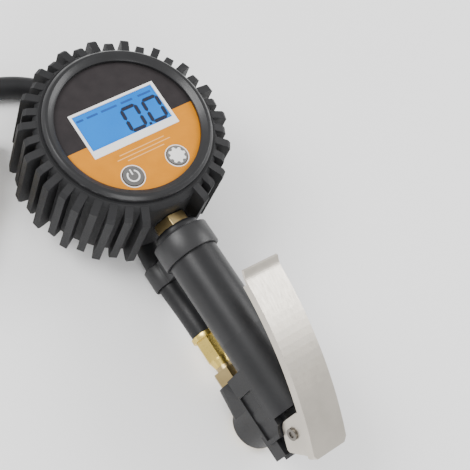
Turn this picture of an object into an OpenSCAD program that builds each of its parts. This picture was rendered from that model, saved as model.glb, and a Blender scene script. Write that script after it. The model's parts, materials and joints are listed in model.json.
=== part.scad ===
// Digital tyre inflator: a round pressure gauge in a ribbed rubber boot, on a
// trigger handle with an air inlet, and a hose that ends in a clip-on air chuck.
// It lies on its back: +Z is the dial's normal, +Y runs from handle to gauge.

/* [Gauge] */
// Height of the bezel's front face above the table
dial_front = 54.4; // [53:0.1:58]
// Radius of the bezel ring
bezel_r = 36; // [35.5:0.1:37]
// Radius of the visible dial
dial_r = 30.9; // [30:0.1:32]
// Depth of the dial below the bezel's face
dial_recess = 3.2; // [2:0.1:4]
// Width of the white display frame
lcd_w = 41.8; // [38:0.1:44]
// Height of the white display frame
lcd_h = 22.2; // [20:0.1:24]
// Height of the display's centre above the dial's centre
lcd_y = 3; // [1:0.1:4]
// Half the distance between the two buttons
button_x = 10.9; // [10:0.1:12]
// Distance of the buttons below the dial's centre
button_y = 21.4; // [20:0.1:22.5]
// Radius of a button
button_r = 4.4; // [3.5:0.1:4.8]
// Travel of a button
button_travel = 0.4; // [0.2:0.1:0.6]

/* [Boot] */
// Radius over the tall ribs
tall_rib_r = 45; // [43:0.1:46]
// Radius over the short ribs
short_rib_r = 43.2; // [42:0.1:44]
// Radius between the ribs
boot_core_r = 39; // [38:0.1:40]
// Height of the boot's back above the table
boot_back = 12.1; // [12:0.1:14]
// Number of tall ribs that a full circle would hold
rib_pairs = 19; // [16:1:20]
// Angle of the first tall rib
rib_start = 2; // [0:0.5:9]
// Width of a rib
rib_w = 3.4; // [2.5:0.1:3.8]

/* [Handle] */
// Distance of the handle's axis behind the bezel's face
handle_depth = 21.5; // [20:0.1:23]
// Turn of the handle about its own axis
handle_turn = 10; // [5:1:12]
// Radius of the grip tube
grip_r = 10.9; // [10:0.1:11.5]
// Radius of the hose clip's collar
collar_r = 12.6; // [12.2:0.1:13]
// Width of the trigger lever
lever_w = 18.2; // [17.6:0.1:19]
// Thickness of the lever's sheet steel
lever_t = 1.2; // [1:0.1:1.4]
// Radius of the brass inlet's rim
inlet_r = 9; // [8.5:0.1:9.5]
// Bore radius of the quarter inch pipe thread
inlet_bore_r = 5.6; // [5.5:0.05:5.8]

/* [Hose] */
// Diameter of the hose
hose_d = 10.4; // [10:0.1:10.6]
// Radius of the hose's stored turn
coil_r = 52; // [50:1:54]
// Bore radius of the chuck, for a tyre valve stem
chuck_bore_r = 4.1; // [4:0.05:4.3]

/* [Hidden] */
$fn = 64;

// Places. The gauge's centre is at gauge_at, and lengths along the handle are
// measured from there, so they are negative.
gauge_at = [-0.1, 53.7, 0];
handle_z = dial_front - handle_depth;
dial_top = dial_front - dial_recess;
case_r = 34.8;
case_floor = boot_back + 2;
lcd_rim = 1.2;
lcd_foot = 3.6;
plate_t = 1.2;
board_top = dial_front - 9;
stem_r = 5;

nut_top = -39.3;
cap_top = -43.9;
clip_top = -47.6;
clip_end = -57.9;
grip_end = -96;
valve_y = -126.2;
inlet_reach = (handle_z - inlet_r * sin(handle_turn)) / cos(handle_turn);
boss_reach = inlet_reach - 2.2;
seat_z = -6.6;
fitting_inner = -19;

port_x = -2;
port_z = -22;
ferrule_top = -84;
port_end = -107.5;

pivot_y = -139.2;
pivot_z = 2.6;
pivot_r = 2;
lever_side = lever_w / 2 - lever_t;
bracket_x = lever_side - 0.3;
lever_arc_r = 142;
lever_foot = [-152.2, 4.7];
foot_heading = 37.5;
tip_heading = 8;
lever_axis = lever_foot + lever_arc_r * [sin(foot_heading), -cos(foot_heading)];
lever_foot_angle = foot_heading + 90;
lever_tip_angle = tip_heading + 90;
curl_r = 7;
curl_turn = 42;
arc_steps = 24;

hose_r = hose_d / 2;
hose_z = hose_r;
coil_at = [-110, 35];
coil_from = 72;
coil_to = 325;
coil_step = 11;
chuck_z = 8.2;
// The hose's route from the ferrule to its stored turn, from the gauge's centre.
route = [[-5.8, -84, 11.6], [-5.8, -82.5, 11.6], [-5.77, -78, 11.42], [-5.6, -73, 10.7],
    [-5.25, -67.2, 9.17], [-4.9, -62, 7.74], [-4.68, -57.5, 7], [-4.62, -52.5, 6.7],
    [-4.45, -47.5, 6.6], [-3.6, -40, 6.1], [-2.2, -34, 5.5], [0.2, -26, 5.2], [3, -18, 5.2],
    [5.8, -10, 5.2], [8.3, -2, 5.2], [10.2, 7, 5.2], [11.2, 17, 5.2], [10.6, 26, 5.2],
    [8.5, 34, 5.2], [5.1, 41, 5.2], [0.5, 47.4, 5.2], [-5.1, 53, 5.2], [-12, 57.8, 5.2],
    [-20.5, 61.6, 5.2], [-38, 67.1, 5.2], [-56, 72.7, 5.2], [-75, 78.6, 5.2]];

function rise(a) = a < coil_to - 60 ? 0 : (a - coil_to + 60) / 60;
function smooth(t) = t * t * (3 - 2 * t);
coil = [for (a = [coil_from : coil_step : coil_to])
    [coil_at[0] + coil_r * cos(a), coil_at[1] + coil_r * sin(a),
     hose_z + (chuck_z - hose_z) * smooth(rise(a))]];
hose_end = coil[len(coil) - 1];
chuck_turn = coil_to - 270;
// A short straight at the end squares the hose to the chuck.
straight = 1.5;
hose_path = concat(route, [for (i = [0 : len(coil) - 2]) coil[i]],
    [hose_end - straight * [cos(chuck_turn), sin(chuck_turn), 0], hose_end]);

// A tube of radius r through the points of path, with flat ends.
function unit(v) = v / norm(v);
function heading(path, i) =
    unit(path[min(i + 1, len(path) - 1)] - path[max(i - 1, 0)]);
function ring(path, i, r, sides) =
    let (t = heading(path, i), u = unit(cross(t, [0, 0, 1])), v = cross(u, t))
    [for (k = [0 : sides - 1]) path[i] + r * (cos(360 * k / sides) * u + sin(360 * k / sides) * v)];
module sweep(path, r, sides) {
    n = len(path);
    points = [for (i = [0 : n - 1]) each ring(path, i, r, sides)];
    walls = [for (i = [0 : n - 2], k = [0 : sides - 1])
        [i * sides + k, i * sides + (k + 1) % sides,
         (i + 1) * sides + (k + 1) % sides, (i + 1) * sides + k]];
    start = [for (k = [sides - 1 : -1 : 0]) k];
    end = [for (k = [0 : sides - 1]) (n - 1) * sides + k];
    polyhedron(points, concat(walls, [start], [end]), convexity = 8);
}

// Frames: the gauge's, the handle's (x across, y along, z to the lever), the
// hose port's and the chuck's (x forward).
module at_gauge() translate(gauge_at) children();
module at_handle()
    translate(gauge_at + [0, 0, handle_z]) rotate([0, handle_turn, 0]) children();
module at_port() at_handle() translate([port_x, 0, port_z]) children();
module at_chuck()
    translate(gauge_at + [hose_end[0], hose_end[1], chuck_z]) rotate([0, 0, chuck_turn]) children();

// A cylinder along Y from y1 down to y2, and one along Z from z1 to z2.
module along_y(y1, y2, r, fn = 64)
    translate([0, y1, 0]) rotate([90, 0, 0]) cylinder(h = y1 - y2, r = r, $fn = fn);
module cone_y(y1, y2, r1, r2)
    translate([0, y1, 0]) rotate([90, 0, 0]) cylinder(h = y1 - y2, r1 = r1, r2 = r2);
module along_z(z1, z2, r, fn = 64)
    translate([0, 0, z1]) cylinder(h = z2 - z1, r = r, $fn = fn);
module along_x(x1, x2, r, fn = 64)
    translate([x1, 0, 0]) rotate([0, 90, 0]) cylinder(h = x2 - x1, r = r, $fn = fn);
module block(x1, x2, y1, y2, z1, z2)
    translate([x1, y1, z1]) cube([x2 - x1, y2 - y1, z2 - z1]);

module rib(r, back, front) {
    rotate([90, 0, 0]) linear_extrude(rib_w, center = true)
        polygon([[boot_core_r - 1.5, back], [r - 1.5, back], [r, back + 1.5], [r, front - 3.2],
            [r - 1.4, front - 1.6], [boot_core_r - 1.5, front]]);
}

module rubber_boot() {
    rib_front = dial_front - 3.6;
    color("#2f2f31") at_gauge() difference() {
        union() {
            rotate_extrude() polygon([[26, boot_back], [boot_core_r - 1.6, boot_back],
                [boot_core_r, boot_back + 1.6], [boot_core_r, dial_front - 6],
                [bezel_r + 1.2, dial_front - 3.2], [bezel_r + 0.02, dial_front - 3.2],
                [bezel_r + 0.02, dial_front - 7], [case_r + 0.02, dial_front - 7],
                [case_r + 0.02, case_floor], [26, case_floor]]);
            for (i = [0 : 2 * rib_pairs - 1])
                let (a = rib_start + i * 180 / rib_pairs, from_stem = abs(a - 270))
                if (from_stem > 14)
                    rotate([0, 0, a])
                        rib(i % 2 == 0 ? tall_rib_r : short_rib_r, boot_back, rib_front);
        }
        translate([0, 0, handle_z]) along_y(-30, -50, stem_r + 0.6);
        translate([0, 0, handle_z]) along_y(-37.2, -50, stem_r + 1.85);
    }
}

module bezel_ring() {
    color("#333335") at_gauge() rotate_extrude()
        polygon([[dial_r, dial_top], [dial_r, dial_front - 1.6], [dial_r + 2.6, dial_front],
            [bezel_r - 1.3, dial_front], [bezel_r, dial_front - 1.3], [bezel_r, dial_front - 7],
            [case_r - 1.8, dial_front - 7], [case_r - 1.8, dial_top]]);
}

module gauge_case() {
    color("#3a3a3c") at_gauge() difference() {
        along_z(case_floor, dial_front - 7, case_r);
        along_z(case_floor + 2, dial_front, case_r - 2);
        block(-13, 13, -25, 25, case_floor - 1, case_floor + 3);
        translate([0, 0, handle_z]) along_y(-30, -36, stem_r);
    }
    color("#3a3a3c") at_gauge() for (a = [45 : 90 : 315])
        rotate([0, 0, a]) translate([29, 0, 0]) along_z(case_floor + 2, board_top - 1.6, 2.4);
}

module dial_plate() {
    color("#4b4547") at_gauge() difference() {
        along_z(dial_top - plate_t, dial_top, case_r - 1.9);
        block(-lcd_w / 2, lcd_w / 2, lcd_y - lcd_h / 2, lcd_y + lcd_h / 2, dial_top - 3, dial_top + 1);
        for (side = [-1, 1])
            translate([side * button_x, -button_y, 0])
                along_z(dial_top - 3, dial_top + 1, button_r + 0.25);
    }
}

module lcd_frame() {
    color("#f2f2ee") at_gauge() difference() {
        block(-lcd_w / 2, lcd_w / 2, lcd_y - lcd_h / 2, lcd_y + lcd_h / 2, dial_top - 2.6, dial_top + 0.3);
        block(-lcd_w / 2 + lcd_rim, lcd_w / 2 - lcd_rim, lcd_y - lcd_h / 2 + lcd_foot,
            lcd_y + lcd_h / 2 - lcd_rim, dial_top - 3, dial_top + 1);
    }
}

module lcd_panel() {
    color("#2496f0") at_gauge()
        block(-lcd_w / 2 + lcd_rim, lcd_w / 2 - lcd_rim, lcd_y - lcd_h / 2 + lcd_foot,
            lcd_y + lcd_h / 2 - lcd_rim, dial_top - 2.2, dial_top - 0.4);
}

module backlight() {
    color("#dfe9f5") at_gauge()
        block(-lcd_w / 2 + lcd_rim, lcd_w / 2 - lcd_rim, lcd_y - lcd_h / 2 + lcd_foot,
            lcd_y + lcd_h / 2 - lcd_rim, dial_top - 4.4, dial_top - 2.6);
}

module circuit_board() {
    color("#1f6b3a") at_gauge() along_z(board_top - 1.6, board_top, 31);
}

module button_switches() {
    color("#c9c9c4") at_gauge() for (side = [-1, 1])
        translate([side * button_x, -button_y, 0]) {
            block(-3, 3, -3, 3, board_top, board_top + 1.6);
            along_z(board_top + 1.6, board_top + 2.2, 1.6);
        }
}

module button(side) {
    at_gauge() translate([side * button_x, -button_y, 0]) {
        along_z(dial_top - 2.2, dial_top + 0.5, button_r);
        along_z(board_top + 2.2 + button_travel + 0.1, dial_top - 2.2, 1.4);
    }
}
module power_button() { color("#9a9a98") button(-1); }
module light_button() { color("#e8e8e4") button(1); }

module pressure_sensor() {
    color("#b9b9b6") at_gauge() {
        block(-7, 7, -27, -17, handle_z - 6, handle_z + 6);
        translate([0, 0, handle_z]) block(-5, 5, -17, -15, -4, 4);
    }
}

battery_z = case_floor + 2.2 + 5.25;
module batteries() {
    color("#8d8f94") at_gauge() for (side = [-1, 1])
        translate([side * 6, 0, battery_z]) {
            along_y(21.6, -22, 5.2);
            along_y(22.4, 21.6, 1.9);
        }
}

module battery_contacts() {
    color("#d9d6cc") at_gauge() translate([0, 0, battery_z]) {
        block(-11, 11, 22.4, 22.8, -4, 4);
        block(-11, -1, -23.2, -22.8, -4, 4);
        block(1, 11, -23.2, -22.8, -4, 4);
        for (side = [-1, 1]) translate([side * 6, 0, 0]) cone_y(-22, -22.8, 2, 3);
    }
}

module battery_door() {
    color("#343436") at_gauge() difference() {
        along_z(boot_back + 0.4, case_floor, 25.8);
        for (i = [-1, 0, 1]) block(-9, 9, 12 + 3 * i - 0.5, 12 + 3 * i + 0.5, 0, boot_back + 0.9);
        for (side = [-1, 1]) translate([side * 20, 0, 0]) along_z(0, case_floor + 1, 1.6);
    }
}

module door_screws() {
    color("#b9bbbd") at_gauge() for (side = [-1, 1]) translate([side * 20, 0, 0])
        difference() {
            union() {
                along_z(boot_back + 0.6, boot_back + 1.4, 1.55);
                along_z(boot_back + 1.4, case_floor, 1.2);
            }
            block(-0.25, 0.25, -1.2, 1.2, 0, boot_back + 1);
            block(-1.2, 1.2, -0.25, 0.25, 0, boot_back + 1);
        }
}

module gauge_stem() {
    color("#a98a4e") at_handle() difference() {
        union() {
            along_y(-27, nut_top, stem_r);
            along_y(nut_top, cap_top, 8, 6);
            along_y(cap_top, -53, 4);
        }
        along_y(-26, -54, 1.5);
    }
}

module stem_seal() {
    color("#1c1c1c") at_handle() translate([0, -38.15, 0]) rotate([90, 0, 0])
        rotate_extrude() translate([stem_r + 0.9, 0]) circle(r = 0.85, $fn = 24);
}

module top_cap() {
    color("#303032") at_handle() difference() {
        union() {
            cone_y(cap_top, cap_top - 1, 9, 10);
            along_y(cap_top - 1, clip_top, 10);
        }
        along_y(cap_top + 1, clip_top - 1, 5.5);
    }
}

clip_hose_z = -26.6;
module hose_clip() {
    color("#2c2c2e") at_handle() difference() {
        union() {
            along_y(clip_top, clip_end, collar_r);
            translate([0, 0, clip_hose_z]) along_y(clip_top, clip_end, 6.6);
            block(-3, 3, clip_end, clip_top, clip_hose_z + 5.6, -grip_r - 0.5);
        }
        along_y(clip_top + 1, clip_end - 1, grip_r);
        translate([0, 0, clip_hose_z]) along_y(clip_top + 1, clip_end - 1, hose_r + 0.6);
    }
}

module grip_tube() {
    color("#323234") at_handle() difference() {
        along_y(clip_top, grip_end, grip_r);
        along_y(clip_top + 1, grip_end - 1, grip_r - 2.4);
    }
}

module air_pipe() {
    color("#b8babc") at_handle() difference() {
        along_y(cap_top - 0.2, -104, 5.5);
        along_y(cap_top + 1, -54, 4);
        along_y(-53, -105, 3);
    }
}

// The wide flank of the valve body, with its recessed panel on either side.
panel_depth = 0.9;
// Round pockets in the flanks let the lever's ears turn.
ear_pocket_r = 6.5;
module body_flank() {
    difference() {
        block(-grip_r, grip_r, -137.5, port_end, -13.6, 0);
        for (side = [-1, 1])
            block(side > 0 ? grip_r - panel_depth : -grip_r - 1, side > 0 ? grip_r + 1 : -grip_r + panel_depth,
                -135.6, -116, -12.4, -2.9);
        for (side = [-1, 1])
            translate([side * (bracket_x + 5), pivot_y, pivot_z]) along_x(-5, 5, ear_pocket_r);
    }
}

module valve_body() {
    color("#343436") at_handle() difference() {
        union() {
            along_y(grip_end, -130.5, grip_r);
            body_flank();
            block(-9.9, 9.9, -144, -133, -16.4, -8.6);
            block(-bracket_x, bracket_x, -145.4, -128, -13.6, pivot_z);
            translate([0, pivot_y, pivot_z]) along_x(-bracket_x, bracket_x, 6.2);
            translate([0, valve_y, 0]) along_z(-boss_reach, 0, 10.4);
            hull() {
                translate([port_x, port_end, port_z]) along_y(0, -2, 7.4, 32);
                translate([0, valve_y, 0]) along_z(-boss_reach + 1, -8, 8.6, 32);
            }
        }
        along_y(grip_end + 1, -104, 5.5);
        along_y(-103, valve_y, 3);
        translate([0, valve_y, 0]) along_z(-boss_reach - 1, fitting_inner, 7.6);
        translate([0, valve_y, 0]) along_z(fitting_inner - 1, seat_z, 4.5);
        translate([0, valve_y, 0]) along_z(seat_z - 1, 4.4, 2.6);
        translate([0, valve_y, 0]) along_z(4.4, 20, 4.5);
        translate([port_x, 0, port_z]) along_y(port_end + 1, -118, 4.6);
        translate([0, pivot_y, pivot_z]) along_x(-12, 12, pivot_r);
    }
}

module inlet_fitting() {
    color("#c9a64f") at_handle() translate([0, valve_y, 0]) difference() {
        union() {
            along_z(-boss_reach, fitting_inner, 7.6);
            along_z(-inlet_reach, -boss_reach, inlet_r);
        }
        along_z(-inlet_reach - 1, -inlet_reach + 10, inlet_bore_r);
        along_z(-inlet_reach, fitting_inner + 1, 4);
    }
}

module inlet_filter() {
    color("#bfa566") at_handle() translate([0, valve_y, 0]) along_z(-21.4, -20.2, 3.98);
}

// Height of the lever's underside at a distance y along the handle.
function lever_under(y) =
    lever_axis[1] + sqrt(pow(lever_arc_r - lever_t, 2) - pow(y - lever_axis[0], 2));
plunger_tip = lever_under(valve_y) - 0.9;
module valve_plunger() {
    color("#d3d0c4") at_handle() translate([0, valve_y, 0]) {
        along_z(-9.8, -8, 3.6);
        along_z(-8, plunger_tip - 1.5, 1.5);
        translate([0, 0, plunger_tip - 1.5]) sphere(r = 1.5, $fn = 32);
    }
}

module plunger_seal() {
    color("#1a1a1a") at_handle() translate([0, valve_y, 0]) difference() {
        along_z(-8, seat_z, 4.1);
        along_z(-9, 0, 1.5);
    }
}

spring_turns = 4;
module valve_spring() {
    low = fitting_inner + 0.35;
    high = -10.15;
    path = [for (i = [0 : 12 * spring_turns])
        [3 * cos(30 * i), 3 * sin(30 * i), low + (high - low) * i / (12 * spring_turns)]];
    color("#c4c6c8") at_handle() translate([0, valve_y, 0]) sweep(path, 0.3, 8);
}

module plunger_gland() {
    color("#b8954f") at_handle() translate([0, valve_y, 0]) difference() {
        union() {
            along_z(6.2, grip_r, 4.5);
            along_z(grip_r, grip_r + 1.8, 4.6, 6);
        }
        along_z(5, 20, 1.56);
    }
}

module gland_seal() {
    color("#1a1a1a") at_handle() translate([0, valve_y, 5.3])
        rotate_extrude() translate([2.55, 0]) circle(r = 0.85, $fn = 24);
}

// The lever's side outline, in the plane of y and z, along its arched back.
function back_at(a, inset) = lever_axis + (lever_arc_r - inset) * [cos(a), sin(a)];
function back_arc(inset) = [for (i = [0 : arc_steps])
    back_at(lever_foot_angle + (lever_tip_angle - lever_foot_angle) * i / arc_steps, inset)];
tip_end = back_at(lever_tip_angle, 0);
curl_axis = tip_end + curl_r * [-sin(tip_heading), cos(tip_heading)];
function curl_arc(r) = [for (i = [1 : 8])
    curl_axis + r * [sin(tip_heading + curl_turn * i / 8), -cos(tip_heading + curl_turn * i / 8)]];
function backward(list) = [for (i = [len(list) - 1 : -1 : 0]) list[i]];

module side_plate(x) {
    translate([x, 0, 0]) rotate([90, 0, 90]) linear_extrude(lever_t) children();
}
module flange_outline() {
    depth = 3.6;
    polygon(concat(back_arc(0.2), backward(back_arc(depth))));
    hull() {
        translate([pivot_y, pivot_z]) circle(r = 5.8, $fn = 40);
        translate([-143, -5]) circle(r = 1.6, $fn = 20);
        translate([-148.9, 5]) circle(r = 1.4, $fn = 20);
        translate([-135.2, 11.2]) circle(r = 1.6, $fn = 20);
    }
}
module lever() {
    color("#cfc9ba") at_handle() difference() {
        union() {
            translate([-lever_w / 2, 0, 0]) rotate([90, 0, 90]) linear_extrude(lever_w)
                polygon(concat(back_arc(0), curl_arc(curl_r),
                    backward(curl_arc(curl_r + lever_t)), backward(back_arc(lever_t))));
            side_plate(-lever_w / 2) flange_outline();
            side_plate(lever_side) flange_outline();
        }
        translate([0, pivot_y, pivot_z]) along_x(-12, 12, pivot_r + 0.05);
        for (side = [-1, 1])
            translate([side * (lever_w / 2), -154.2, 0]) rotate([0, 0, 45])
                cube([5, 5, 60], center = true);
    }
}

module lever_pin() {
    head = lever_w / 2 + 1;
    color("#8c8577") at_handle() translate([0, pivot_y, pivot_z]) difference() {
        union() {
            along_x(-head, head, pivot_r);
            along_x(-head, 0.9 - head, 2.5);
            along_x(head - 0.9, head, 2.5);
        }
        along_x(-head - 1, 0.6 - head, 1.3);
        along_x(head - 0.6, head + 1, 1.3);
    }
}

module hose_nut() {
    color("#ac8c4c") at_port() {
        along_y(-101.5, port_end, 6.8, 6);
        along_y(-99.6, -101.5, 3.9);
        along_y(port_end, -115, 4.6);
    }
}

module hose_ferrule() {
    color("#dcc05c") at_port() {
        along_y(ferrule_top, -86.2, 6);
        along_y(-86.2, -96, 5.6, 6);
        cone_y(-96, -99.6, 4.9, 3.9);
    }
}

module air_hose() {
    color("#262628") translate(gauge_at) sweep(hose_path, hose_r, 12);
}

module chuck_ferrule() {
    color("#dcc05c") at_chuck() {
        along_x(0, 2, 6.2);
        along_x(2, 12, 5.7, 6);
        along_x(12, 14, 4);
    }
}

chuck_back = 14;
chuck_face = 46;
// The seal's pocket, measured back from the chuck's face.
seal_back = 9;
seal_front = 7.4;
chuck_pivot = [35, 9.4];
module chuck_body() {
    color("#c7a752") at_chuck() difference() {
        union() {
            along_x(chuck_back, 20, 6.4, 6);
            along_x(20, chuck_face, 7);
            for (side = [-1, 1])
                block(chuck_pivot[0] - 3, chuck_pivot[0] + 3, side * 4.6 - 0.8, side * 4.6 + 0.8,
                    2, chuck_pivot[1] + 2.4);
        }
        along_x(chuck_face - seal_back, chuck_face - seal_front + 0.01, chuck_bore_r + 0.5);
        along_x(chuck_face - seal_front, chuck_face + 1, chuck_bore_r);
        along_x(22, chuck_face, 2.2);
        block(chuck_face - 7, chuck_face - 2, -2.8, 2.8, 0, 12);
        translate([chuck_pivot[0], 0, chuck_pivot[1]]) rotate([90, 0, 0])
            cylinder(h = 20, r = 1.2, center = true);
    }
}

module chuck_seal() {
    color("#1c1c1c") at_chuck() difference() {
        along_x(chuck_face - seal_back, chuck_face - seal_front, chuck_bore_r + 0.5);
        along_x(30, 50, 1.6);
    }
}

module chuck_depressor() {
    color("#d8d8d2") at_chuck() {
        along_x(24, chuck_face - 7.5, 0.9);
        along_x(24, 25.5, 2.2);
    }
}

module chuck_lever() {
    color("#b9bbbd") at_chuck() difference() {
        rotate([90, 0, 0]) linear_extrude(4.8, center = true)
            polygon([[8, 13.6], [9, 15.2], [28, 12.6], [chuck_pivot[0], 12.2], [41, 11.4],
                [chuck_face - 3.2, 8], [chuck_face - 3.2, 4.6], [chuck_face - 4.4, 4.6],
                [chuck_face - 5.2, 7.6], [38.6, 9], [chuck_pivot[0], 7.4], [31, 9.4]]);
        translate([chuck_pivot[0], 0, chuck_pivot[1]]) rotate([90, 0, 0])
            cylinder(h = 20, r = 1.25, center = true);
    }
}

module chuck_lever_pin() {
    color("#8c8577") at_chuck() translate([chuck_pivot[0], 0, chuck_pivot[1]])
        rotate([90, 0, 0]) cylinder(h = 11.6, r = 1.2, center = true);
}

module chuck_spring() {
    color("#c4c6c8") at_chuck() for (side = [-1, 1])
        translate([chuck_pivot[0], side * 3.3, chuck_pivot[1]]) rotate([90, 0, 0])
            rotate_extrude() translate([1.75, 0]) circle(r = 0.3, $fn = 16);
}

rubber_boot();
bezel_ring();
gauge_case();
dial_plate();
lcd_frame();
lcd_panel();
backlight();
circuit_board();
button_switches();
power_button();
light_button();
pressure_sensor();
batteries();
battery_contacts();
battery_door();
door_screws();
gauge_stem();
stem_seal();
top_cap();
hose_clip();
grip_tube();
air_pipe();
valve_body();
inlet_fitting();
inlet_filter();
valve_plunger();
plunger_seal();
valve_spring();
plunger_gland();
gland_seal();
lever();
lever_pin();
hose_nut();
hose_ferrule();
air_hose();
chuck_ferrule();
chuck_body();
chuck_seal();
chuck_depressor();
chuck_lever();
chuck_lever_pin();
chuck_spring();
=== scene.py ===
"""Looks of the tyre gauge: camera, materials, hose, printed marks, floor and lights.

Lengths are in metres, and values in millimetres are multiplied by MM where they are used.
"""
import json
import math

import bmesh
import bpy
from mathutils import Matrix, Vector


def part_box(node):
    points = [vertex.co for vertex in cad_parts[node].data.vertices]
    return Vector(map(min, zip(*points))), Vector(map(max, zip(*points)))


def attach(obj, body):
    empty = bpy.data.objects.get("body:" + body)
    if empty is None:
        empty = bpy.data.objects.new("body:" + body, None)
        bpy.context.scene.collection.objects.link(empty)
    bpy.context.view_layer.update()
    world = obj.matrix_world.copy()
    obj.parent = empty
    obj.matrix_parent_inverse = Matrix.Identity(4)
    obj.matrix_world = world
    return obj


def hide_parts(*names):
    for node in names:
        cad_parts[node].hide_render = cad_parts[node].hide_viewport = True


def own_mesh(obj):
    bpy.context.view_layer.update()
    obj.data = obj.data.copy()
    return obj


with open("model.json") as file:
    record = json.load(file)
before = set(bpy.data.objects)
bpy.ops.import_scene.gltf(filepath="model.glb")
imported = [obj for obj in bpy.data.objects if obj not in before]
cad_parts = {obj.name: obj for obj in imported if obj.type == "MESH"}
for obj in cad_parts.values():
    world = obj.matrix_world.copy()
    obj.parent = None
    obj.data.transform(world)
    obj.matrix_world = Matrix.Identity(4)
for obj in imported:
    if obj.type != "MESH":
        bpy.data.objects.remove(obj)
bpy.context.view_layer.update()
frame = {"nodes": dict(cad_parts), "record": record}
MM = 0.001
BODY = "frame"


def corners(node):
    lo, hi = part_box(node)
    return Vector(lo), Vector(hi)


# ---------------------------------------------------------------- places
bezel_lo, bezel_hi = corners("bezel_ring")
GAUGE = (bezel_lo + bezel_hi) / 2
DIAL_TOP = corners("dial_plate")[1].z
PANEL_LO, PANEL_HI = corners("lcd_panel")
# The dial is orange below this height from the gauge's centre.
ORANGE_EDGE = -1.7 * MM
# The buttons' distance to either side of the gauge's centre, and their height from it, in millimetres.
BUTTON_X, BUTTON_Y = 10.9, -21.4


# ---------------------------------------------------------------- camera
def make_camera():
    """The camera: its place, its right and up directions, its lens and its shift."""
    right = Vector((0.80719, -0.54095, 0.23624)).normalized()
    up = Vector((0.39355, 0.79147, 0.46766))
    back = right.cross(up).normalized()
    up = back.cross(right)
    data = bpy.data.cameras.new("camera")
    data.sensor_width = 36
    data.lens = 82.15
    data.shift_x, data.shift_y = 0.11, -0.12
    data.clip_start, data.clip_end = 0.02, 20
    camera = bpy.data.objects.new("camera", data)
    bpy.context.collection.objects.link(camera)
    place = Vector((-185.12, -155.97, 369.24)) * MM + Vector((GAUGE.x, GAUGE.y, bezel_hi.z))
    camera.matrix_world = Matrix.Translation(place) @ Matrix((right, up, back)).transposed().to_4x4()
    bpy.context.scene.camera = camera


make_camera()


# ---------------------------------------------------------------- materials
class Shader:
    """A principled material and short calls that build its nodes."""

    def __init__(self, name, rough, metal=0.0, spec=0.5, coat=0.0):
        self.material = bpy.data.materials.new(name)
        self.material.use_nodes = True
        self.tree = self.material.node_tree
        self.bsdf = self.tree.nodes["Principled BSDF"]
        self.set("Roughness", rough)
        self.set("Metallic", metal)
        self.set("Specular IOR Level", spec)
        self.set("Coat Weight", coat)
        self.set("Coat Roughness", 0.15)
        self.coords = self.node("ShaderNodeTexCoord").outputs["Object"]

    def node(self, kind, **values):
        made = self.tree.nodes.new(kind)
        for key, value in values.items():
            setattr(made, key, value)
        return made

    def set(self, socket, value):
        self.bsdf.inputs[socket].default_value = value

    def link(self, out, socket):
        self.tree.links.new(out, socket)

    def stretched(self, stretch):
        mapping = self.node("ShaderNodeMapping")
        mapping.inputs["Scale"].default_value = stretch
        self.link(self.coords, mapping.inputs["Vector"])
        return mapping.outputs["Vector"]

    def noise(self, scale, detail=4.0, stretch=(1, 1, 1)):
        made = self.node("ShaderNodeTexNoise")
        made.inputs["Scale"].default_value = scale
        made.inputs["Detail"].default_value = detail
        self.link(self.stretched(stretch), made.inputs["Vector"])
        return made.outputs["Fac"]

    def ramp(self, factor, stops):
        made = self.node("ShaderNodeValToRGB")
        elements = made.color_ramp.elements
        while len(elements) < len(stops):
            elements.new(0.5)
        for element, (at, color) in zip(elements, stops):
            element.position = at
            element.color = (*color, 1)
        self.link(factor, made.inputs["Fac"])
        return made.outputs["Color"]

    def vary_roughness(self, factor, low, high):
        """Roughness from low to high over the middle of a noise."""
        made = self.node("ShaderNodeMapRange")
        made.inputs["From Min"].default_value = 0.3
        made.inputs["From Max"].default_value = 0.7
        made.inputs["To Min"].default_value = low
        made.inputs["To Max"].default_value = high
        self.link(factor, made.inputs["Value"])
        self.link(made.outputs["Result"], self.bsdf.inputs["Roughness"])

    def bump(self, factor, depth_mm, strength=0.5):
        made = self.node("ShaderNodeBump")
        made.inputs["Distance"].default_value = depth_mm * MM
        made.inputs["Strength"].default_value = strength
        self.link(factor, made.inputs["Height"])
        self.link(made.outputs["Normal"], self.bsdf.inputs["Normal"])


def mottled(name, color, rough, grain, depth_mm, spread=0.12,
            metal=0.0, spec=0.5, coat=0.0, stretch=(1, 1, 1)):
    """A colour that varies a little, with a fine grain of that scale and depth."""
    made = Shader(name, rough, metal, spec, coat)
    broad = made.noise(90, 3)
    fine = made.noise(grain, 5, stretch)
    darker = tuple(c * (1 - spread) for c in color)
    lighter = tuple(min(1, c * (1 + spread)) for c in color)
    made.link(made.ramp(broad, [(0.35, darker), (0.65, lighter)]), made.bsdf.inputs["Base Color"])
    made.vary_roughness(fine, rough * 0.85, min(1, rough * 1.18))
    made.bump(fine, depth_mm)
    return made.material


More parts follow.
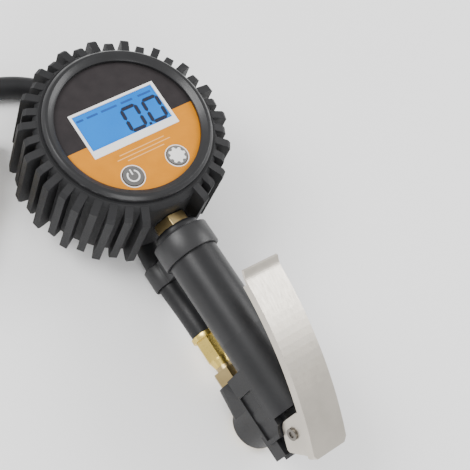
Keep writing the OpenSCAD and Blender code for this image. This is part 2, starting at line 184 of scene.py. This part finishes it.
def dial_print():
    """Printed film: charcoal above ORANGE_EDGE and orange below it, measured from the gauge's centre."""
    made = Shader("dial_print", 0.42, spec=0.2)
    split = made.node("ShaderNodeSeparateXYZ")
    made.link(made.coords, split.inputs["Vector"])
    above = made.node("ShaderNodeMath", operation="GREATER_THAN")
    made.link(split.outputs["Y"], above.inputs[0])
    above.inputs[1].default_value = GAUGE.y + ORANGE_EDGE
    mottle = made.noise(160, 4)
    orange = made.ramp(mottle, [(0.3, (0.56, 0.20, 0.003)), (0.7, (0.62, 0.225, 0.005))])
    charcoal = made.ramp(mottle, [(0.3, (0.021, 0.018, 0.019)), (0.7, (0.028, 0.024, 0.025))])
    mix = made.node("ShaderNodeMix", data_type="RGBA")
    made.link(above.outputs[0], mix.inputs["Factor"])
    made.link(orange, mix.inputs[6])
    made.link(charcoal, mix.inputs[7])
    made.link(mix.outputs[2], made.bsdf.inputs["Base Color"])
    fine = made.noise(2600, 4)
    made.vary_roughness(fine, 0.32, 0.46)
    made.bump(fine, 0.008, 0.3)
    return made.material


def display_glass():
    """The lit display: a blue that varies a little in patches and glows faintly."""
    made = Shader("display_glass", 0.45, spec=0.08)
    glow = made.noise(45, 2)
    color = made.ramp(glow, [(0.3, (0.0005, 0.15, 0.55)), (0.7, (0.001, 0.18, 0.62))])
    made.link(color, made.bsdf.inputs["Base Color"])
    made.link(color, made.bsdf.inputs["Emission Color"])
    made.set("Emission Strength", 0.12)
    made.bump(made.noise(3000, 2), 0.003, 0.2)
    return made.material


BLACK = (0.013, 0.013, 0.014)
MATERIALS = {
    "rubber": mottled("boot_rubber", (0.014, 0.014, 0.015), 0.58, 2200, 0.03, spec=0.25),
    "bezel": mottled("bezel_plastic", BLACK, 0.34, 2600, 0.002, spec=0.35, coat=0.1),
    "case_plastic": mottled("case_plastic", BLACK, 0.42, 2400, 0.03),
    "dial_print": dial_print(),
    "white_plastic": mottled("white_plastic", (0.80, 0.80, 0.78), 0.36, 2000, 0.01, spread=0.03),
    "lcd_blue": display_glass(),
    "diffuser": mottled("diffuser", (0.72, 0.78, 0.85), 0.5, 1500, 0.01, spread=0.04),
    "board": mottled("board", (0.02, 0.16, 0.05), 0.45, 1200, 0.02),
    "grey_button": mottled("grey_button", (0.10, 0.098, 0.095), 0.42, 2200, 0.012, spread=0.06),
    "white_button": mottled("white_button", (0.13, 0.127, 0.123), 0.42, 2200, 0.012, spread=0.06),
    "steel": mottled("steel", (0.56, 0.55, 0.53), 0.32, 1400, 0.01, metal=1.0, spread=0.06),
    "pin_steel": mottled("pin_steel", (0.20, 0.185, 0.165), 0.36, 1500, 0.004, metal=1.0, spread=0.1),
    "battery_jacket": mottled("battery_jacket", (0.12, 0.12, 0.14), 0.3, 900, 0.005, spread=0.05),
    "nickel_lever": mottled("satin_nickel", (0.56, 0.52, 0.455), 0.36, 1500, 0.003,
                            metal=1.0, spread=0.05, stretch=(1, 0.06, 1)),
    "brass_dull": mottled("dull_brass", (0.40, 0.30, 0.14), 0.34, 1800, 0.003, metal=1.0, spread=0.14),
    "brass_bright": mottled("bright_brass", (0.78, 0.58, 0.15), 0.30, 1500, 0.0005,
                            metal=1.0, spread=0.08),
    "black_cast": mottled("black_cast", BLACK, 0.42, 1500, 0.012, spec=0.3),
    "grip_plastic": mottled("grip_sleeve", (0.012, 0.012, 0.013), 0.36, 2200, 0.003, spec=0.35),
    "hose_rubber": mottled("hose_rubber", (0.011, 0.011, 0.012), 0.46, 1600, 0.01, spec=0.3),
    "seal_rubber": mottled("seal_rubber", (0.016, 0.016, 0.016), 0.6, 1800, 0.03),
}
INK = mottled("print_ink", (0.001, 0.004, 0.022), 0.5, 2000, 0.004, spread=0.1)
FAINT_INK = mottled("faint_ink", (0.0, 0.060, 0.28), 0.5, 2000, 0.004, spread=0.1)
WHITE_INK = mottled("white_ink", (0.78, 0.78, 0.76), 0.5, 2000, 0.004, spread=0.04)
PALE_INK = mottled("pale_ink", (0.74, 0.38, 0.12), 0.5, 2000, 0.004, spread=0.06)


# Edge rounding by node, in millimetres. The lever, the valve body and the grip tube have none, because a
# bevel leaves visible artefacts on them.
ROUNDING = {
    "rubber_boot": 0.45, "bezel_ring": 0.2, "lcd_frame": 0.2, "power_button": 0.25, "light_button": 0.25,
    "gauge_stem": 0.3, "top_cap": 0.4, "hose_clip": 0.5, "inlet_fitting": 0.25,
    "lever_pin": 0.35, "plunger_gland": 0.2, "hose_nut": 0.35,
    "hose_ferrule": 0.35, "chuck_ferrule": 0.35, "chuck_body": 0.4, "chuck_lever": 0.35,
    "battery_door": 0.3, "door_screws": 0.12,
}
# Points closer than this are joined, in millimetres, and edges sharper than this are rounded, in degrees.
WELD_GAP = 0.002
SHARP_ANGLE = 32


def dress_cad_nodes():
    """Every CAD node gets its slot's material, and the nodes listed in ROUNDING get rounded edges."""
    for sub in frame["record"]["subparts"]:
        piece = frame["nodes"][sub["node"]]
        if not piece.material_slots:
            piece.data.materials.append(None)
        for material_slot in piece.material_slots:
            material_slot.material = MATERIALS[sub["material_slot"]]
        width = ROUNDING.get(sub["node"])
        if width:
            weld = piece.modifiers.new("weld", "WELD")
            weld.merge_threshold = WELD_GAP * MM
            bevel = piece.modifiers.new("round", "BEVEL")
            bevel.width = width * MM
            bevel.segments = 2
            bevel.limit_method = "ANGLE"
            bevel.angle_limit = math.radians(SHARP_ANGLE)
            bevel.use_clamp_overlap = True


dress_cad_nodes()


# ---------------------------------------------------------------- hose
HOSE_D = 10.4 * MM
# The hose's middle, in millimetres from the table's point under the gauge's centre. It runs out of the
# ferrule, through the clip, under the boot and away to the stored turn.
HOSE_ROUTE = [
    (-5.8, -84, 11.6), (-5.8, -82.5, 11.6), (-5.77, -78, 11.42), (-5.6, -73, 10.7), (-5.25, -67.2, 9.17),
    (-4.9, -62, 7.74), (-4.68, -57.5, 7), (-4.62, -52.5, 6.7), (-4.45, -47.5, 6.6), (-3.6, -40, 6.1),
    (-2.2, -34, 5.5), (0.2, -26, 5.2), (3, -18, 5.2), (5.8, -10, 5.2),
    (8.3, -2, 5.2), (10.2, 7, 5.2), (11.2, 17, 5.2), (10.6, 26, 5.2), (8.5, 34, 5.2),
    (5.1, 41, 5.2), (0.5, 47.4, 5.2), (-5.1, 53, 5.2), (-12, 57.8, 5.2), (-20.5, 61.6, 5.2),
    (-38, 67.1, 5.2), (-56, 72.7, 5.2), (-75, 78.6, 5.2)]
COIL_CENTRE, COIL_R = (-110, 35), 52
COIL_FROM, COIL_TO, COIL_STEP = 72, 325, 11
# The turn lies at REST_Z and rises to CHUCK_Z over its last COIL_RISE degrees.
REST_Z, CHUCK_Z, COIL_RISE = 5.2, 8.2, 60
# A short straight end, so that the hose meets the chuck squarely.
STRAIGHT = 1.5


def coil_point(angle):
    """A point of the stored turn, at an angle in degrees."""
    t = max(0, (angle - COIL_TO + COIL_RISE) / COIL_RISE)
    height = REST_Z + (CHUCK_Z - REST_Z) * t * t * (3 - 2 * t)
    turn = math.radians(angle)
    return (COIL_CENTRE[0] + COIL_R * math.cos(turn), COIL_CENTRE[1] + COIL_R * math.sin(turn), height)


def make_hose():
    """The air hose, from its ferrule round to the chuck."""
    coil = [coil_point(a) for a in range(COIL_FROM, COIL_TO + 1, COIL_STEP)]
    heading = math.radians(COIL_TO - 270)
    end = coil[-1]
    before = (end[0] - STRAIGHT * math.cos(heading), end[1] - STRAIGHT * math.sin(heading), end[2])
    coil[-1:] = [before, end]
    base = Vector((GAUGE.x, GAUGE.y, 0))
    path = [base + Vector(p) * MM for p in HOSE_ROUTE + coil]
    curve = bpy.data.curves.new("hose", "CURVE")
    curve.dimensions = "3D"
    curve.bevel_depth = HOSE_D / 2
    curve.bevel_resolution = 9
    curve.resolution_u = 6
    spline = curve.splines.new("BEZIER")
    spline.bezier_points.add(len(path) - 1)
    for point, place in zip(spline.bezier_points, path):
        point.co = place
        point.handle_left_type = point.handle_right_type = "AUTO"
    hose = bpy.data.objects.new("hose", curve)
    bpy.context.collection.objects.link(hose)
    curve.materials.append(MATERIALS["hose_rubber"])
    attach(hose, BODY)
    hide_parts("air_hose")


make_hose()


# ---------------------------------------------------------------- printed and moulded detail
def flat_piece(name, outlines, low, high, material, body=BODY):
    """Closed outlines, in millimetres from the gauge's centre, raised from height low to high."""
    bm = bmesh.new()
    for outline in outlines:
        base = [bm.verts.new((GAUGE.x + x * MM, GAUGE.y + y * MM, low)) for x, y in outline]
        face = bm.faces.new(base)
        raised = bmesh.ops.extrude_face_region(bm, geom=[face])["geom"]
        for vert in (g for g in raised if isinstance(g, bmesh.types.BMVert)):
            vert.co.z = high
    bmesh.ops.recalc_face_normals(bm, faces=bm.faces)
    mesh = bpy.data.meshes.new(name)
    bm.to_mesh(mesh)
    bm.free()
    mesh.materials.append(material)
    piece = bpy.data.objects.new(name, mesh)
    bpy.context.collection.objects.link(piece)
    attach(piece, body)
    return piece


def bar(x1, y1, x2, y2):
    """The outline of an upright rectangle."""
    return [(x1, y1), (x2, y1), (x2, y2), (x1, y2)]


def arc_band(centre, inner, outer, start, end, steps=40):
    """The outline of a band of a ring between two angles in degrees."""
    angles = [math.radians(start + (end - start) * i / steps) for i in range(steps + 1)]
    out = [(centre[0] + outer * math.cos(a), centre[1] + outer * math.sin(a)) for a in angles]
    back = [(centre[0] + inner * math.cos(a), centre[1] + inner * math.sin(a)) for a in reversed(angles)]
    return out + back


# The digits' size, stroke and gap between strokes, in millimetres, and their slant.
DIGIT_W, DIGIT_H, STROKE, STROKE_GAP, SLANT = 6.9, 10.8, 1.6, 0.12, 0.06
# How far each kind of mark stands above its surface, in millimetres.
DIGIT_RAISE, UNIT_RAISE, RING_RAISE, LINE_RAISE, SYMBOL_RAISE = 0.08, 0.05, 0.1, 0.04, 0.12
# The ring round each button and the arc of the power symbol, inner and outer radius.
RING_INNER, RING_OUTER = 4.75, 5.2
ARC_INNER, ARC_OUTER = 2.15, 2.8
# The toothed symbol: its middle radius, the reach of its teeth, their number and the outline's points.
TOOTH_MIDDLE, TOOTH_REACH, TEETH, TOOTH_STEPS = 3.35, 0.42, 8, 96


def segment(x1, y1, x2, y2):
    """One bar of a seven segment digit, with pointed ends, between two points of the digit's box."""
    along = Vector((x2 - x1, y2 - y1)).normalized()
    across = Vector((-along.y, along.x)) * STROKE / 2
    start = Vector((x1, y1)) + along * STROKE_GAP
    end = Vector((x2, y2)) - along * STROKE_GAP
    inset = along * STROKE / 2
    points = [start, start + inset + across, end - inset + across,
              end, end - inset - across, start + inset - across]
    return [(p.x + SLANT * p.y, p.y) for p in points]


def zero(x, y):
    """The six segments of a nought whose lower left corner is x, y."""
    w, h = DIGIT_W, DIGIT_H
    lines = [(0, 0, w, 0), (0, h, w, h), (0, 0, 0, h / 2),
             (0, h / 2, 0, h), (w, 0, w, h / 2), (w, h / 2, w, h)]
    return [[(x + px, y + py) for px, py in segment(*line)] for line in lines]


def make_display():
    """The display's digits and point, with plain bars in place of its unit names."""
    top = PANEL_HI.z
    digits = zero(0.6, -3.3) + zero(11.2, -3.3) + [bar(9.0, -3.9, 10.1, -2.8)]
    flat_piece("display_digits", digits, top, top + DIGIT_RAISE * MM, INK)
    spans = ((-18.6, 3.2), (-13.6, 5.2), (-6.6, 7.6), (3.2, 5.6), (11.6, 6.4))
    marks = [bar(x, 9.9, x + width, 10.8) for x, width in spans]
    flat_piece("display_units", marks, top, top + UNIT_RAISE * MM, FAINT_INK)


def make_dial_marks():
    """A pale ring round each button, and plain lines in place of the small print."""
    low, high = DIAL_TOP, DIAL_TOP + RING_RAISE * MM
    for name, side in (("power_ring", -1), ("light_ring", 1)):
        centre = (side * BUTTON_X, BUTTON_Y)
        halves = [arc_band(centre, RING_INNER, RING_OUTER, turn, turn + 180) for turn in (0, 180)]
        flat_piece(name, halves, low, high, WHITE_INK)
    lines = [bar(-half, y - 0.22, half, y + 0.22) for half, y in ((11, -11), (13, -12.7), (9, -14.4))]
    flat_piece("dial_lines", lines, low, DIAL_TOP + LINE_RAISE * MM, PALE_INK)


def make_button_symbols():
    """The power mark on one button and a toothed disc on the other."""
    top = corners("power_button")[1].z
    centre = (-BUTTON_X, BUTTON_Y)
    stem = bar(centre[0] - 0.3, centre[1] + 0.6, centre[0] + 0.3, centre[1] + 3.1)
    symbol = [arc_band(centre, ARC_INNER, ARC_OUTER, 125, 415), stem]
    flat_piece("power_symbol", symbol, top, top + SYMBOL_RAISE * MM,
               WHITE_INK, "power_key")
    centre = (BUTTON_X, BUTTON_Y)
    outline = []
    for i in range(TOOTH_STEPS):
        angle = math.radians(i * 360 / TOOTH_STEPS)
        reach = TOOTH_MIDDLE + TOOTH_REACH * math.tanh(3 * math.cos(TEETH * angle))
        outline.append((centre[0] + reach * math.cos(angle), centre[1] + reach * math.sin(angle)))
    flat_piece("light_symbol", [outline], top, top + SYMBOL_RAISE * MM,
               WHITE_INK, "light_key")


make_display()
make_dial_marks()
make_button_symbols()


def make_spring():
    """The valve spring, fixed at the fitting, as its own copy of the CAD spring's mesh."""
    node = frame["nodes"]["valve_spring"]
    spring = bpy.data.objects.new("spring", node.data.copy())
    bpy.context.collection.objects.link(spring)
    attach(spring, BODY)
    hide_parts("valve_spring")
    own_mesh(spring)


make_spring()


# ---------------------------------------------------------------- floor and lights
def make_floor():
    """A plain pale floor just under the part."""
    bpy.ops.mesh.primitive_plane_add(size=6, location=(0, 0, -0.0002))
    floor = bpy.context.object
    floor.name = "floor"
    made = Shader("floor_paper", 0.85, spec=0.2)
    pale = made.ramp(made.noise(6, 2), [(0.3, (0.95, 0.95, 0.95)), (0.7, (0.97, 0.97, 0.97))])
    made.link(pale, made.bsdf.inputs["Base Color"])
    floor.data.materials.append(made.material)


def area_light(name, place, size, power):
    """A square soft light of that size at place, turned to the object's middle."""
    data = bpy.data.lights.new(name, "AREA")
    data.size = size
    data.energy = power
    light = bpy.data.objects.new(name, data)
    light.location = place
    light.rotation_mode = "QUATERNION"
    light.rotation_quaternion = (Vector(place) - Vector((0, 0, 0.03))).to_track_quat("Z", "Y")
    bpy.context.collection.objects.link(light)


def make_lights():
    """A white room and three soft lights."""
    world = bpy.data.worlds.new("studio")
    world.use_nodes = True
    background = world.node_tree.nodes["Background"]
    background.inputs["Color"].default_value = (1, 1, 1, 1)
    background.inputs["Strength"].default_value = 1.0
    bpy.context.scene.world = world
    area_light("key", (-0.55, 0.45, 0.75), 0.5, 9)
    area_light("side", (0.7, -0.1, 0.55), 0.45, 5)
    area_light("front", (-0.35, -0.75, 0.5), 0.5, 4)


make_floor()
make_lights()
